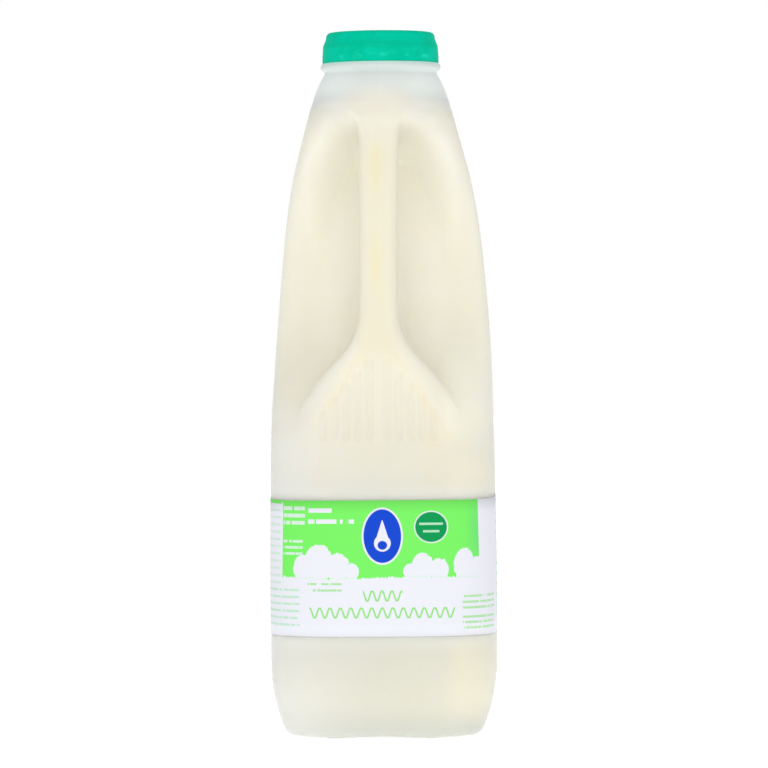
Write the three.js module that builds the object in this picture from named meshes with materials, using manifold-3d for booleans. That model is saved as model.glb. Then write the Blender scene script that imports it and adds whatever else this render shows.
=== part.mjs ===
// One-litre blow-moulded milk bottle with an integral handle, its cap, its wrap-round label and the milk.
// Units are millimetres and +Z is up. The handle faces -Y, and the origin is the middle of the base.
import * as THREE from "three";
import { mergeVertices } from "three/addons/utils/BufferGeometryUtils.js";
import Module from "manifold-3d";

const wasm = await Module();
wasm.setup();

const { clamp, lerp, smoothstep, smootherstep } = THREE.MathUtils;

// Wall of the bottle, and the clearance that separate pieces keep from each other.
const WALL = 0.8;
const FIT_GAP = 0.3;

// Base: a flat ring-shaped foot round a shallow push-up, a rounded corner and a flank that swells upwards.
const FOOT_HALF_WIDTH = 31.8;
const FOOT_INNER_SHARE = 0.7;
const PUSH_UP = 3;
// Steps of the base from its middle, as [share of the foot's half-width, share of the push-up].
const BASE_STEPS = [[0, 1], [0.42, 0.85], [0.6, 0.2], [FOOT_INNER_SHARE, 0]];
const CORNER_RADIUS = 4.2;
const FLANK_START_Z = 3.4;
const FLANK_TOP_Z = 25;
const FLANK_HALF_WIDTH = 40.1;
const FLANK_CURVE = 0.0088;
// The pinch-off seam crosses the base from front to back and lifts it in a low arch.
const SEAM_ARCH = 0.7;
const SEAM_HALF_WIDTH = 19;
const SEAM_TOP_Z = 10;

// Envelope from the flank to the neck, as [height, half-width].
const ENVELOPE = [
  [25, 40.1], [60, 40.1], [80, 39.85], [98, 39.75], [115, 39.35], [137, 38.5], [160, 36.75],
  [183, 34.3], [198, 31.55], [209, 28.7], [221, 25.4], [228, 23.1], [232, 21.3], [234.2, 20],
];

// The plan section is a superellipse, squarish in the body, rounder at the foot and round at the neck.
const FOOT_SQUARENESS = 3.2;
const BODY_SQUARENESS = 3.7;
const ROUND = 2;
const SQUARE_TOP_Z = 150;
const ROUND_FROM_Z = 232;

// Shallow seat that the label lies in.
const LABEL_BOTTOM_Z = 36.3;
const LABEL_TOP_Z = 83.8;
const LABEL_SEAT_DEPTH = 0.35;
const LABEL_SEAT_MARGIN = 0.5;
const LABEL_SEAT_EDGE = 0.6;
const LABEL_GAP = 0.27;
const LABEL_THICKNESS = 0.2;
const LABEL_MIDDLE_Z = 60;
// The block that hollows the label out runs past both its edges.
const LABEL_OVERRUN = 1;

// Recess that leaves the handle free: a gently curved wall, reached by a slope below and a ledge above.
const RECESS_SLOPE_START_Z = 100;
const RECESS_SLOPE_END_Z = 158;
const RECESS_LEDGE_START_Z = 198;
const RECESS_LEDGE_END_Z = 216;
// The recess's wall leans back with the handle: its distance in front of the axis, below and above.
const RECESS_WALL_LOW_FRONT = 5;
const RECESS_WALL_HIGH_FRONT = -2;
const RECESS_WIDEST_Y = 10;
const RECESS_SQUARENESS = 2.4;

// Gable: the raised front panel that narrows upwards into the handle, as [height, half-width of its ridge].
const GABLE_RIDGE = [
  [86, 24.4], [104, 24.8], [111, 25], [117, 23.6], [123, 20], [131, 13.6], [139, 8], [144, 6.4], [165, 6.4],
];
// Width of the bevel outside the ridge, as [height, width].
const GABLE_BEVEL = [[86, 6.5], [111, 6], [123, 3.8], [139, 2], [165, 1.2]];
const GABLE_TOP_Z = 144;
const SADDLE_TOP_Z = 168;
// The panel stands slightly proud of the body below the gable, and its wall is thicker behind the grooves.
const PANEL_PROUD = 0.3;
const PANEL_BACKING = 0.9;
const PANEL_BACKING_BOTTOM_Z = 98;
const PANEL_BACKING_TOP_Z = 144;
const PANEL_BACKING_FADE = 5;

// Handle: a hollow bar along the front of the envelope, which spreads into the gable and the shoulder.
const HANDLE_WIDTH = 13.7;
const HANDLE_THICKNESS = 14.5;
const HANDLE_SQUARENESS = 3;
const HANDLE_SETBACK = 0.1;
const HANDLE_FREE_FROM_Z = 143;
const HANDLE_FREE_TO_Z = 208;
const HANDLE_DIVE_SLOPE = 0.4;
const HANDLE_ROOT_TOP_Z = 153;
const HANDLE_ROOT_SPREAD = 1.6;
const HANDLE_ROOT_FILLET = 7;
const HANDLE_CREST_START_Z = 199;
const HANDLE_CREST_FILLET = 7;
const HANDLE_HEIGHTS = [135, 139, 143, 145, 147, 150, 153, 165, 178, 190, 199, 204, 208, 213, 219];
const HANDLE_COLUMNS = 16;

// Grip grooves in the gable's panel, in two equal groups beside its middle.
const GROOVES_A_SIDE = 5;
const GROOVE_FIRST_X = 3.2;
const GROOVE_PITCH = 4.1;
const GROOVE_RADIUS = 1.35;
const GROOVE_FLATNESS = 0.6;
const GROOVE_BOTTOM_Z = 105.2;
const GROOVE_TOP_Z = 136.3;
const GROOVE_TOP_FALL = 1.02;

// Neck finish, as [radius, height] outside and inside, with the ring that stops the cap.
const NECK_OUTSIDE = [
  [19.9, 234.7], [20.1, 235.3], [21.1, 236.1], [21.3, 236.8], [21.2, 237.6], [20.6, 238.05],
  [18.8, 238.1], [18.8, 247.6],
];
const NECK_INSIDE = [[18.6, 234.6], [17.4, 237.5], [17.4, 249]];
// Shares of the neck's radius that the columns of the gable's ridge and bevel take there.
const NECK_RIDGE_SHARE = 0.3;
const NECK_BEVEL_SHARE = 0.1;

// Cap: a flat top with a rounded rim, a step to the skirt, and the tear line of its lower band.
const CAP_TOP_Z = 249.2;
const CAP_TOP_THICKNESS = 1.3;
const CAP_BOTTOM_Z = 238.4;
const CAP_BORE_RADIUS = 19.15;
const CAP_OUTSIDE = [
  [20.7, 238.4], [20.6, 239.0], [20.35, 239.3], [20.5, 239.6], [20.35, 244.2], [20.1, 244.6],
  [20.3, 245], [20.1, 245.7], [19.5, 246.1], [19.4, 247.6], [18.9, 248.7], [17.8, 249.2],
];
const CAP_SEGMENTS = 48;

// Fill level of the milk.
const MILK_LEVEL_Z = 225;

// Heights of the rings that the walls are built on, from the foot to the neck.
const BASE_HEIGHTS = [0, 0.4, 1.2, 2.4, 3.8, 7, 12, 18, 25];
const INNER_BASE_HEIGHTS = [0, 2.6, 5, 11, 25];
const SEAT_BOTTOM_Z = LABEL_BOTTOM_Z - LABEL_SEAT_MARGIN;
const SEAT_TOP_Z = LABEL_TOP_Z + LABEL_SEAT_MARGIN;
const SEAT_HEIGHTS = [
  SEAT_BOTTOM_Z - LABEL_SEAT_EDGE, SEAT_BOTTOM_Z, LABEL_MIDDLE_Z, SEAT_TOP_Z, SEAT_TOP_Z + LABEL_SEAT_EDGE,
];
const GABLE_HEIGHTS = [98, 104, 110, 116, 122, 129, 136, 144];
const SADDLE_HEIGHTS = [144.6, 146, 148.6, 152.5, 158, 168];
const SHOULDER_HEIGHTS = [184, 198, 203, 208, 212, 216, 220.5, 225, 228.5, 231.5, 234.2];
const UPPER_HEIGHTS = [...GABLE_HEIGHTS, ...SADDLE_HEIGHTS, ...SHOULDER_HEIGHTS];
const OUTER_HEIGHTS = [...BASE_HEIGHTS, ...SEAT_HEIGHTS, ...UPPER_HEIGHTS];
const INNER_HEIGHTS = [...INNER_BASE_HEIGHTS, LABEL_MIDDLE_Z, ...UPPER_HEIGHTS];

// Columns of one half outline: across the gable, over its bevel, over the front flank and round the back.
const PANEL_COLUMNS = 4;
const BEVEL_COLUMNS = 2;
const FLANK_COLUMNS = 6;
const BACK_COLUMNS = 8;

/** Smooth curve through [height, value] stations, held at its end values beyond them. */
function curveThrough(stations) {
  const heights = stations.map(([height]) => height);
  const values = stations.map(([, value]) => value);
  const curve = new THREE.CubicInterpolant(heights, values, 1);
  return (z) => curve.evaluate(clamp(z, heights[0], heights.at(-1)))[0];
}

const envelopeAbove = curveThrough(ENVELOPE);
const gableRidge = curveThrough(GABLE_RIDGE);
const gableBevel = curveThrough(GABLE_BEVEL);

/** Half-width of the plain envelope, which is also its depth in front of the axis and behind it. */
function envelopeHalfWidth(z) {
  if (z < FLANK_START_Z) {
    const below = CORNER_RADIUS - Math.max(z, 0);
    return FOOT_HALF_WIDTH + Math.sqrt(CORNER_RADIUS ** 2 - below ** 2);
  }
  const aboveFlank = z > FLANK_TOP_Z;
  const plain = aboveFlank ? envelopeAbove(z) : FLANK_HALF_WIDTH - FLANK_CURVE * (FLANK_TOP_Z - z) ** 2;
  const seat = Math.min(
    smoothstep(z, SEAT_BOTTOM_Z - LABEL_SEAT_EDGE, SEAT_BOTTOM_Z),
    1 - smoothstep(z, SEAT_TOP_Z, SEAT_TOP_Z + LABEL_SEAT_EDGE),
  );
  return plain - LABEL_SEAT_DEPTH * seat;
}

/** Share of the full recess at height z, from 0 on the plain body to 1 beside the handle. */
function recessShare(z) {
  const slope = smootherstep(z, RECESS_SLOPE_START_Z, RECESS_SLOPE_END_Z);
  const ledge = smootherstep(z, RECESS_LEDGE_START_Z, RECESS_LEDGE_END_Z);
  return slope * (1 - ledge);
}

/** Distance of the recess's wall in front of the axis, before the slope and the ledge join in. */
function recessWallFront(z) {
  const rise = (z - RECESS_SLOPE_END_Z) / (RECESS_LEDGE_START_Z - RECESS_SLOPE_END_Z);
  return lerp(RECESS_WALL_LOW_FRONT, RECESS_WALL_HIGH_FRONT, clamp(rise, 0, 1));
}

/** Distance in front of the axis of the gable's panel, and above it of the saddle behind the handle. */
function panelFront(z, envelope, wall) {
  if (z <= GABLE_TOP_Z) return envelope;
  if (z >= SADDLE_TOP_Z) return wall;
  const drop = (SADDLE_TOP_Z - z) / (SADDLE_TOP_Z - GABLE_TOP_Z);
  return envelope - (envelope - wall) * Math.sqrt(1 - drop ** 2);
}

/** Plan section of the bottle's outside at height z, as named sizes. */
function sectionAt(z) {
  const halfWidth = envelopeHalfWidth(z);
  const recess = recessShare(z);
  const wallFront = lerp(halfWidth, recessWallFront(z), recess);
  const bodySquareness = lerp(FOOT_SQUARENESS, BODY_SQUARENESS, smoothstep(z, 0, FLANK_TOP_Z));
  const squareness = lerp(bodySquareness, ROUND, smoothstep(z, SQUARE_TOP_Z, ROUND_FROM_Z));
  const proud = PANEL_PROUD * smoothstep(z, SEAT_TOP_Z, GABLE_HEIGHTS[0]) * (1 - recess);
  return {
    halfWidth,
    wallFront,
    panel: panelFront(z, halfWidth, wallFront) + proud,
    back: halfWidth,
    ridge: gableRidge(z),
    bevel: gableBevel(z),
    centreY: RECESS_WIDEST_Y * recess,
    squareness,
    frontSquareness: lerp(squareness, RECESS_SQUARENESS, recess),
  };
}

/** Section at height z moved inwards by a clearance, sideways as well as down from every ledge. */
function insetSection(z, inset) {
  const here = sectionAt(z);
  if (inset === 0) return here;
  const below = sectionAt(Math.max(z - inset, 0));
  const above = sectionAt(z + inset);
  const moved = { ...here };
  for (const size of ["halfWidth", "wallFront", "panel", "back", "ridge"]) {
    moved[size] = Math.min(here[size] - inset, below[size], above[size]);
  }
  const backingEnd = smoothstep(z, PANEL_BACKING_BOTTOM_Z, PANEL_BACKING_BOTTOM_Z + PANEL_BACKING_FADE);
  const backingTop = smoothstep(z, PANEL_BACKING_TOP_Z - PANEL_BACKING_FADE, PANEL_BACKING_TOP_Z);
  moved.panel -= PANEL_BACKING * backingEnd * (1 - backingTop);
  return moved;
}

/** Round section of the neck. */
function roundSection(radius) {
  return {
    halfWidth: radius, wallFront: radius, panel: radius, back: radius,
    ridge: radius * NECK_RIDGE_SHARE, bevel: radius * NECK_BEVEL_SHARE,
    centreY: 0, squareness: ROUND, frontSquareness: ROUND,
  };
}

/** Depth of a superellipse with the given reach, at the distance x from its middle. */
function depthAt(x, halfWidth, reach, squareness) {
  const share = Math.min(Math.abs(x) / halfWidth, 1);
  return reach * (1 - share ** squareness) ** (1 / squareness);
}

/** Point of a superellipse in the direction of an angle from its reach. */
function pointAtAngle(angle, halfWidth, reach, squareness) {
  const across = (Math.abs(Math.sin(angle)) / halfWidth) ** squareness;
  const along = (Math.abs(Math.cos(angle)) / reach) ** squareness;
  const radius = (across + along) ** (-1 / squareness);
  return [radius * Math.sin(angle), radius * Math.cos(angle)];
}

/** Right-hand half outline of a section, from the middle of the front to the middle of the back. */
function halfOutline(section) {
  const { halfWidth, centreY, squareness, frontSquareness, ridge, bevel } = section;
  const panelReach = section.panel + centreY;
  const wallReach = section.wallFront + centreY;
  const points = [];
  for (let column = 0; column <= PANEL_COLUMNS; column += 1) {
    const x = ridge * (column / PANEL_COLUMNS);
    points.push([x, centreY - depthAt(x, halfWidth, panelReach, squareness)]);
  }
  for (let column = 1; column <= BEVEL_COLUMNS; column += 1) {
    const share = column / BEVEL_COLUMNS;
    const x = ridge + bevel * share;
    const panelDepth = depthAt(x, halfWidth, panelReach, squareness);
    const wallDepth = depthAt(x, halfWidth, wallReach, frontSquareness);
    points.push([x, centreY - lerp(panelDepth, wallDepth, smoothstep(share, 0, 1))]);
  }
  const [bevelX, bevelY] = points.at(-1);
  const startAngle = Math.atan2(bevelX, centreY - bevelY);
  for (let column = 1; column <= FLANK_COLUMNS; column += 1) {
    const angle = lerp(startAngle, Math.PI / 2, column / FLANK_COLUMNS);
    const [x, depth] = pointAtAngle(angle, halfWidth, wallReach, frontSquareness);
    points.push([x, centreY - depth]);
  }
  const backReach = section.back - centreY;
  for (let column = 1; column <= BACK_COLUMNS; column += 1) {
    const angle = (Math.PI / 2) * (1 - column / BACK_COLUMNS);
    const [x, depth] = pointAtAngle(angle, halfWidth, backReach, squareness);
    points.push([x, centreY + depth]);
  }
  return points;
}

/** Closed outline of a section: its right half, then the same half mirrored. */
function fullOutline(section) {
  const right = halfOutline(section);
  const left = right.slice(1, -1).map(([x, y]) => [-x, y]).reverse();
  return [...right, ...left];
}

/** Lift of the base and the lower wall where the pinch-off seam crosses them. */
function seamLift(x, z) {
  const across = 1 - Math.min(Math.abs(x) / SEAM_HALF_WIDTH, 1) ** 2;
  const up = 1 - Math.min(z / SEAM_TOP_Z, 1);
  return SEAM_ARCH * across ** 2 * up ** 2;
}

/** Manifold solid of a closed geometry, with its doubled vertices merged. */
function solidFrom(geometry) {
  geometry.deleteAttribute("normal");
  geometry.deleteAttribute("uv");
  const merged = mergeVertices(geometry);
  const corners = merged.index.array;
  const triangles = [];
  for (let start = 0; start < corners.length; start += 3) {
    const [a, b, c] = corners.slice(start, start + 3);
    if (a !== b && b !== c && c !== a) triangles.push(a, b, c);
  }
  return new wasm.Manifold(new wasm.Mesh({
    numProp: 3,
    vertProperties: Float32Array.from(merged.attributes.position.array),
    triVerts: Uint32Array.from(triangles),
  }));
}

/**
 * Solid lofted through rings from bottom to top. A lathe gives the grid, and each ring is then moved
 * to its own outline, scaled by the ring's share about the point that the ring closes on.
 */
function loftedSolid(rings, { lift = () => 0 } = {}) {
  const columns = rings[0].outline.length;
  const profile = rings.map(({ share, height }) => new THREE.Vector2(share, height));
  const grid = new THREE.LatheGeometry(profile, columns);
  const positions = grid.attributes.position;
  for (let column = 0; column <= columns; column += 1) {
    rings.forEach(({ outline, share, height, centre = [0, 0] }, ring) => {
      const [outlineX, outlineY] = outline[column % columns];
      const x = lerp(centre[0], outlineX, share);
      const y = lerp(centre[1], outlineY, share);
      positions.setXYZ(column * rings.length + ring, x, y, height + lift(x, height));
    });
  }
  return solidFrom(grid);
}

/** Rings of the base inside the foot: the push-up and the flat foot ring. */
function baseRings(inset) {
  const outline = fullOutline(insetSection(inset, inset));
  return BASE_STEPS.map(([share, rise]) => ({ outline, share, height: rise * PUSH_UP + inset }));
}

/** Rings of the body's wall at the given heights, moved inwards by an inset. */
function wallRings(heights, inset) {
  return heights
    .map((height) => Math.max(height, inset))
    .filter((height, place, all) => height !== all[place - 1])
    .map((height) => ({ outline: fullOutline(insetSection(height, inset)), share: 1, height }));
}

/** Rings of the round neck from [radius, height] stations, closed at the top. */
function neckRings(stations) {
  const rings = stations.map(([radius, height]) => (
    { outline: fullOutline(roundSection(radius)), share: 1, height }));
  return [...rings, { ...rings.at(-1), share: 0 }];
}

/** Distance of the handle's front from the axis, which dives into the body at both ends. */
function handleFront(z) {
  const dive = Math.max(HANDLE_FREE_FROM_Z - z, 0, z - HANDLE_FREE_TO_Z) * HANDLE_DIVE_SLOPE;
  return envelopeHalfWidth(z) - HANDLE_SETBACK - dive;
}

/** Handle bar, or its hollow when an inset is given. */
function handleSolid(inset) {
  const rings = HANDLE_HEIGHTS.map((height) => {
    const root = 1 - smoothstep(height, HANDLE_FREE_FROM_Z, HANDLE_ROOT_TOP_Z);
    const crest = smoothstep(height, HANDLE_CREST_START_Z, HANDLE_FREE_TO_Z);
    const thickness = HANDLE_THICKNESS + HANDLE_ROOT_FILLET * root + HANDLE_CREST_FILLET * crest;
    const halfWidth = HANDLE_WIDTH / 2 + HANDLE_ROOT_SPREAD * root - inset;
    const middle = thickness / 2 - handleFront(height);
    const outline = [];
    for (let column = 0; column < HANDLE_COLUMNS; column += 1) {
      const angle = (2 * Math.PI * column) / HANDLE_COLUMNS;
      const [x, depth] = pointAtAngle(angle, halfWidth, thickness / 2 - inset, HANDLE_SQUARENESS);
      outline.push([x, middle - depth]);
    }
    return { outline, share: 1, height, centre: [0, middle] };
  });
  return loftedSolid([{ ...rings[0], share: 0 }, ...rings, { ...rings.at(-1), share: 0 }]);
}

/** Cutter of the grip groove at x: a flattened round bar that follows the panel's slope. */
function grooveCutter(x) {
  const topZ = GROOVE_TOP_Z - GROOVE_TOP_FALL * Math.abs(x);
  const frontAt = (z) => {
    const { halfWidth, panel, centreY, squareness } = sectionAt(z);
    return centreY - depthAt(x, halfWidth, panel + centreY, squareness);
  };
  const bottom = new THREE.Vector3(x, frontAt(GROOVE_BOTTOM_Z), GROOVE_BOTTOM_Z);
  const top = new THREE.Vector3(x, frontAt(topZ), topZ);
  const along = top.clone().sub(bottom);
  const bar = new THREE.CapsuleGeometry(GROOVE_RADIUS, along.length() - 2 * GROOVE_RADIUS, 2, 8);
  bar.scale(1, 1, GROOVE_FLATNESS);
  const barAxis = new THREE.Vector3(0, 1, 0);
  bar.applyQuaternion(new THREE.Quaternion().setFromUnitVectors(barAxis, along.normalize()));
  const middle = bottom.add(top).multiplyScalar(0.5);
  bar.translate(middle.x, middle.y, middle.z);
  return solidFrom(bar);
}

/** Solid of everything inside the bottle's outer skin. */
function bottleEnvelope() {
  const rings = [...baseRings(0), ...wallRings(OUTER_HEIGHTS, 0), ...neckRings(NECK_OUTSIDE)];
  let envelope = loftedSolid(rings, { lift: seamLift }).add(handleSolid(0));
  for (let groove = 0; groove < GROOVES_A_SIDE; groove += 1) {
    const x = GROOVE_FIRST_X + groove * GROOVE_PITCH;
    envelope = envelope.subtract(grooveCutter(x)).subtract(grooveCutter(-x));
  }
  return envelope;
}

/** Blow-moulded bottle, open at the lip of its neck. */
function bottleSolid() {
  const walls = wallRings(INNER_HEIGHTS.slice(0, -1), WALL);
  const rings = [...baseRings(WALL), ...walls, ...neckRings(NECK_INSIDE)];
  const hollow = loftedSolid(rings, { lift: seamLift }).add(handleSolid(WALL));
  return bottleEnvelope().subtract(hollow);
}

/** Milk up to its level, also inside the hollow handle. */
function milkSolid() {
  const inset = WALL + FIT_GAP;
  const rings = [...baseRings(inset), ...wallRings(INNER_HEIGHTS.filter((z) => z <= MILK_LEVEL_Z), inset)];
  rings.push({ ...rings.at(-1), share: 0 });
  return loftedSolid(rings, { lift: seamLift }).add(handleSolid(inset));
}

/** Cap: a closed-top cup over the neck finish. */
function capSolid() {
  const innerTopZ = CAP_TOP_Z - CAP_TOP_THICKNESS;
  const profile = [
    [0, innerTopZ], [CAP_BORE_RADIUS, innerTopZ], [CAP_BORE_RADIUS, CAP_BOTTOM_Z],
    ...CAP_OUTSIDE, [0, CAP_TOP_Z],
  ].map(([radius, height]) => new THREE.Vector2(radius, height));
  return solidFrom(new THREE.LatheGeometry(profile, CAP_SEGMENTS).rotateX(Math.PI / 2));
}

/** Label: a thin band round the body, a gap outside the seat. */
function labelSolid() {
  const blockAt = (offset, overrun) => {
    const heights = [LABEL_BOTTOM_Z, LABEL_MIDDLE_Z, LABEL_TOP_Z];
    const rings = heights.map((height, place) => ({
      outline: fullOutline(grownSection(height, offset)), share: 1, height: height + (place - 1) * overrun,
    }));
    return loftedSolid([{ ...rings[0], share: 0 }, ...rings, { ...rings.at(-1), share: 0 }]);
  };
  return blockAt(LABEL_GAP + LABEL_THICKNESS, 0).subtract(blockAt(LABEL_GAP, LABEL_OVERRUN));
}

/** Section at height z moved outwards by an offset. */
function grownSection(z, offset) {
  const section = sectionAt(z);
  for (const size of ["halfWidth", "wallFront", "panel", "back"]) section[size] += offset;
  return section;
}

/** Mesh of a solid, named and given its material. */
function pieceMesh(name, solid, { color, roughness, opacity = 1 }) {
  const { vertProperties, triVerts } = solid.getMesh();
  const geometry = new THREE.BufferGeometry();
  geometry.setAttribute("position", new THREE.BufferAttribute(Float32Array.from(vertProperties), 3));
  geometry.setIndex(new THREE.BufferAttribute(Uint32Array.from(triVerts), 1));
  geometry.computeVertexNormals();
  const transparent = opacity < 1;
  const material = new THREE.MeshStandardMaterial({ color, roughness, metalness: 0, opacity, transparent });
  const mesh = new THREE.Mesh(geometry, material);
  mesh.name = name;
  return mesh;
}

const group = new THREE.Group();
group.add(
  pieceMesh("bottle", bottleSolid(), { color: 0xeceadd, roughness: 0.45, opacity: 0.6 }),
  pieceMesh("milk", milkSolid(), { color: 0xf3ecd2, roughness: 0.3 }),
  pieceMesh("cap", capSolid(), { color: 0x08c7a0, roughness: 0.35 }),
  pieceMesh("label", labelSolid(), { color: 0x76e466, roughness: 0.5 }),
);

export default group;
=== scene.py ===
"""A square one-litre milk bottle with a hollow handle, its cap, its wrap-round label and the milk in it.

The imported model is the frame. Each of its plain pieces is replaced by a finer one of the same shape, and a
small studio with a pale floor, soft light and the camera is set round it.
"""
import logging
import math
from dataclasses import dataclass, replace
from enum import Enum
from itertools import accumulate
from typing import Any, Callable, Optional, Sequence, Union

import bmesh
import bpy
from mathutils import Matrix, Vector


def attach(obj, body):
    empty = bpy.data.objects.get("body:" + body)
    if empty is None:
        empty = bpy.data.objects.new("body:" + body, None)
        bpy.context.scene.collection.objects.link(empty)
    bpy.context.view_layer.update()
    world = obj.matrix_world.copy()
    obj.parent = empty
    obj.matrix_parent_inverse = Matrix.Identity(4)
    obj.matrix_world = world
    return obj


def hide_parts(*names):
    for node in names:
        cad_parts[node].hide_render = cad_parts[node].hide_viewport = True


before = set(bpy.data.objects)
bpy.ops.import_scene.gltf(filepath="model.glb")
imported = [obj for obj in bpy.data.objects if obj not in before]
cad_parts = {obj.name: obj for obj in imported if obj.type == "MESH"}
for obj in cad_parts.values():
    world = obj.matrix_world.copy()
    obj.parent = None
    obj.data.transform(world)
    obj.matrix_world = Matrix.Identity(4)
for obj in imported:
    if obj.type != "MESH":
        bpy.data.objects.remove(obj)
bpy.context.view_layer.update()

log = logging.getLogger("milk_bottle")

MM = 0.001
MERGE_DISTANCE = 1e-7
LABEL_MAP = "OFBake"
Point = tuple[float, float]
Station = tuple[float, float]
Colour = tuple[float, float, float, float]
WHITE: Colour = (1.0, 1.0, 1.0, 1.0)


def clamp(value: float, low: float, high: float) -> float:
    """Value held between low and high."""
    return min(max(value, low), high)


def between(first: float, second: float, share: float) -> float:
    """Value at a share of the way from first to second."""
    return first + (second - first) * share


def soft_step(value: float, low: float, high: float) -> float:
    """Smooth step from 0 at low to 1 at high."""
    share = clamp((value - low) / (high - low), 0.0, 1.0)
    return share * share * (3 - 2 * share)


def softer_step(value: float, low: float, high: float) -> float:
    """Smooth step from 0 at low to 1 at high, with curvature-free ends."""
    share = clamp((value - low) / (high - low), 0.0, 1.0)
    return share**3 * (share * (share * 6 - 15) + 10)


def tone(red: float, green: float, blue: float) -> Colour:
    """Linear colour of a screen colour, whose steps go from 0 to 255."""
    shares = (step / 255 for step in (red, green, blue))
    return (*(s / 12.92 if s <= 0.04045 else ((s + 0.055) / 1.055) ** 2.4 for s in shares), 1.0)


class StationCurve:
    """Smooth curve through (height, value) stations, held at its end values beyond them."""

    def __init__(self, *stations: Station) -> None:
        """Keeps the stations, which go from low to high."""
        self.heights = [height for height, _ in stations]
        self.values = [value for _, value in stations]

    def at(self, height: float) -> float:
        """Value of the curve at a height.

        Args:
            height: Height in millimetres.

        Returns:
            The value there.
        """
        heights, values = self.heights, self.values
        last = len(heights) - 1
        place = clamp(height, heights[0], heights[-1])
        upper = next((i for i in range(1, last) if heights[i] >= place), last)
        lower = upper - 1
        before = lower - 1 if lower else upper
        after = upper + 1 if upper < last else lower
        half = (heights[upper] - heights[lower]) / 2
        pull = half / (heights[lower] - heights[before])
        push = half / (heights[after] - heights[upper])
        p = (place - heights[lower]) / (heights[upper] - heights[lower])
        weights = (
            (before, -pull * p**3 + 2 * pull * p**2 - pull * p),
            (lower, (1 + pull) * p**3 - (1.5 + 2 * pull) * p**2 + (pull - 0.5) * p + 1),
            (upper, -(1 + push) * p**3 + (1.5 + push) * p**2 + 0.5 * p),
            (after, push * p**3 - push * p**2),
        )
        return sum(weight * values[station] for station, weight in weights)


def depth_at(x: float, half_width: float, reach: float, squareness: float) -> float:
    """Depth of a superellipse at a distance from its middle; squareness is its exponent, 2 for an ellipse."""
    share = min(abs(x) / half_width, 1.0)
    return reach * (1 - share**squareness) ** (1 / squareness)


def point_at_angle(angle: float, half_width: float, reach: float, squareness: float) -> Point:
    """Point of a superellipse in a direction.

    Args:
        angle: Direction in radians, from the reach towards the half-width.
        half_width: Half the width of the shape.
        reach: Depth of the shape at its middle.
        squareness: Exponent of the shape.

    Returns:
        Distance across and distance along the reach.
    """
    across = (abs(math.sin(angle)) / half_width) ** squareness
    along = (abs(math.cos(angle)) / reach) ** squareness
    radius = (across + along) ** (-1 / squareness)
    return radius * math.sin(angle), radius * math.cos(angle)


@dataclass(frozen=True)
class Ring:
    """Closed outline at one height, in millimetres, shrunk towards a centre by a share."""

    outline: Sequence[Point]
    height: float
    share: float = 1.0
    centre: Point = (0.0, 0.0)

    def point(self, column: int) -> Point:
        """Place of one column of the ring."""
        x, y = self.outline[column]
        return between(self.centre[0], x, self.share), between(self.centre[1], y, self.share)


def spun_grid(stations: Sequence[Station], steps: int) -> bmesh.types.BMesh:
    """Spins a line of stations about the Z axis.

    Args:
        stations: Radius and height of each station.
        steps: Number of columns of the full turn.

    Returns:
        The open surface, with its seam merged.
    """
    mesh = bmesh.new()
    line = [mesh.verts.new((radius, 0, height)) for radius, height in stations]
    edges = [mesh.edges.new(pair) for pair in zip(line, line[1:])]
    bmesh.ops.spin(
        mesh, geom=line + edges, cent=(0, 0, 0), axis=(0, 0, 1), dvec=(0, 0, 0),
        angle=2 * math.pi, steps=steps, use_merge=True, use_duplicate=False,
    )
    return mesh


def row_grid(rings: Sequence[Ring]) -> bmesh.types.BMesh:
    """Spun grid with a row for each ring, at whole heights, and a column for each of its points."""
    return spun_grid([(1.0, float(row)) for row in range(len(rings))], len(rings[0].outline))


def column_of(vert: bmesh.types.BMVert, columns: int) -> int:
    """Column of a vertex of such a grid."""
    return round(math.atan2(vert.co.y, vert.co.x) / (2 * math.pi) * columns) % columns


def settle(mesh: bmesh.types.BMesh, rings: Sequence[Ring]) -> None:
    """Moves the rows of such a grid to the outlines of its rings.

    Args:
        mesh: The grid, which is in metres afterwards.
        rings: Rings with the same number of columns each, the first column at the front.
    """
    for vert in mesh.verts:
        ring = rings[round(vert.co.z)]
        x, y = ring.point(column_of(vert, len(ring.outline)))
        vert.co = Vector((x, y, ring.height)) * MM


def close_up(mesh: bmesh.types.BMesh) -> None:
    """Merges doubles, such as a ring of no size, and turns the normals outwards."""
    bmesh.ops.remove_doubles(mesh, verts=mesh.verts, dist=MERGE_DISTANCE)
    bmesh.ops.recalc_face_normals(mesh, faces=mesh.faces)


def lofted(rings: Sequence[Ring]) -> bmesh.types.BMesh:
    """Surface through rings from bottom to top.

    Args:
        rings: The rings; one of no size closes to a pole.

    Returns:
        The surface in metres, its normals outwards.
    """
    mesh = row_grid(rings)
    settle(mesh, rings)
    close_up(mesh)
    return mesh


def back_quarter(side: Point, reach: float, squareness: float, columns: int) -> list[Point]:
    """Quarter of a superellipse, from after its side to the middle of its back."""
    angles = (math.pi / 2 * (1 - column / columns) for column in range(1, columns + 1))
    points = (point_at_angle(angle, side[0], reach, squareness) for angle in angles)
    return [(x, side[1] + depth) for x, depth in points]


def mirrored(half: Sequence[Point]) -> list[Point]:
    """Closed outline of a right half, from the middle of the front to the middle of the back."""
    return [*half, *((-x, y) for x, y in reversed(half[1:-1]))]


def heights_through(*bands: tuple[float, float, float]) -> list[float]:
    """Heights through bands of even steps.

    Args:
        bands: Start, end and rough step of each band, from low to high.

    Returns:
        The heights, with each band's start and the last band's end among them.
    """
    heights = []
    for start, end, step in bands:
        count = max(round((end - start) / step), 1)
        heights += [between(start, end, place / count) for place in range(count)]
    return heights + [bands[-1][1]]


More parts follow.
